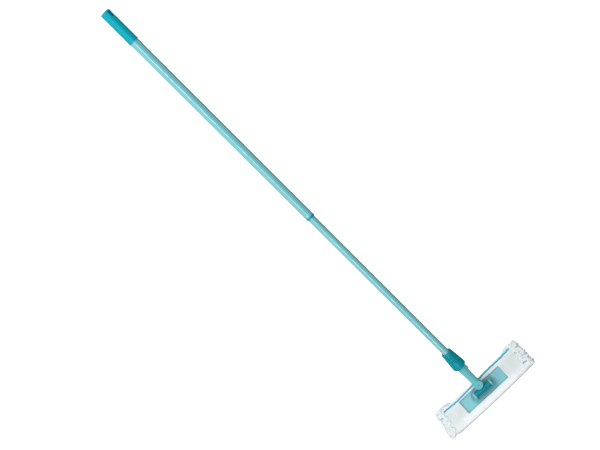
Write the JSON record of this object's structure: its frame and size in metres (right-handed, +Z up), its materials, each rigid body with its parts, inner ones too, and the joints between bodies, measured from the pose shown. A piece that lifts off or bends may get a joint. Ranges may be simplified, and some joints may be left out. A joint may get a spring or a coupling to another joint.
{
  "type": "flat window wiper",
  "caption": "Flat microfibre window wiper: a rigid plate in a slip-on pad, on a two-way joint and a telescopic twist-lock pole with a quick-release collar.",
  "frame": {"origin": "on the flat wiping face, right under the tilt axle", "axes": "+X along the plate, +Y the side the pole leans to, +Z up away from the wiping face"},
  "size_m": [0.32, 1.1228, 0.9358],
  "materials": {
    "grip_plastic": "moulded, satin gloss",
    "upper_enamel": "powder-coated steel, satin",
    "lower_enamel": "powder-coated steel, satin",
    "bush_plastic": "moulded, satin",
    "lock_white": "moulded nylon",
    "lock_dark": "moulded nylon",
    "steel": "zinc-plated, satin",
    "socket_white": "moulded nylon",
    "neck_plastic": "moulded, fine grain, satin",
    "collar_plastic": "moulded, fine grain, satin",
    "trunnion_plastic": "moulded, satin",
    "plate_plastic": "moulded, fine grain",
    "pile": "microfibre loop pile, brushed",
    "flap_cloth": "warp-knit microfibre cloth",
    "elastic": "woven elastic binding",
    "fringe": "long microfibre pile with coloured strands"
  },
  "bodies": {
    "handle": {"end_grip": "grip_plastic", "upper_tube": "upper_enamel", "guide_bush": "bush_plastic"},
    "lock_sleeve": {"expanding_sleeve": "lock_white"},
    "lock_nut": {"taper_nut": "lock_dark"},
    "lower_pole": {"lower_tube": "lower_enamel", "lock_spindle": "lock_dark", "plug_pin": "steel", "end_washer": "steel", "end_screw": "steel", "coupling_socket": "socket_white", "socket_pin": "steel", "collar_spring": "steel", "neck": "neck_plastic", "swing_pin": "neck_plastic"},
    "collar": {"release_collar": "collar_plastic", "collar_cap": "collar_plastic"},
    "catch_left": {"catch_pin_left": "steel"},
    "catch_right": {"catch_pin_right": "steel"},
    "joint_cross": {"trunnion": "trunnion_plastic"},
    "head": {"base_plate": "plate_plastic", "pile_pad": "pile", "pocket_left": "flap_cloth", "pocket_right": "flap_cloth", "front_fold": "flap_cloth", "rear_fold": "flap_cloth", "elastic_band": "elastic", "fringe_left": "fringe", "fringe_right": "fringe"}
  },
  "joints": [
    {"name": "pole_extend", "type": "slide", "parent": "handle", "child": "lock_sleeve", "axis": [0, -0.766, -0.6428], "range_m": [-0.52, 0.03]},
    {"name": "twist_lock", "type": "hinge", "parent": "lock_sleeve", "child": "lower_pole", "pos_m": [0, 0.61054, 0.5383], "axis": [0, 0.766, 0.6428], "range_deg": [0, 180]},
    {"name": "nut_draw", "type": "slide", "parent": "lock_sleeve", "child": "lock_nut", "axis": [0, 0.766, 0.6428], "range_m": [0, 0.0016]},
    {"name": "collar_release", "type": "slide", "parent": "lower_pole", "child": "collar", "axis": [0, 0.766, 0.6428], "range_m": [0, 0.0075], "stiffness_N_per_m": 400, "springref_m": -0.01, "deforming": ["collar_spring"]},
    {"name": "catch_left_out", "type": "slide", "parent": "lower_pole", "child": "catch_left", "axis": [-1, 0, 0], "range_m": [0, 0.002]},
    {"name": "catch_right_out", "type": "slide", "parent": "lower_pole", "child": "catch_right", "axis": [1, 0, 0], "range_m": [0, 0.002]},
    {"name": "head_swing", "type": "hinge", "parent": "lower_pole", "child": "joint_cross", "pos_m": [0, 0.01724, 0.04046], "axis": [0, -0.6428, 0.766], "range_deg": [-60, 60]},
    {"name": "head_tilt", "type": "hinge", "parent": "joint_cross", "child": "head", "pos_m": [0, 0, 0.026], "axis": [1, 0, 0], "range_deg": [-120, 20]}
  ],
  "couplings": [
    {"joint": "nut_draw", "follows": "twist_lock", "m_per_rad": 0.00047746},
    {"joint": "catch_left_out", "follows": "collar_release", "ratio": 0.26666},
    {"joint": "catch_right_out", "follows": "collar_release", "ratio": 0.26666}
  ]
}
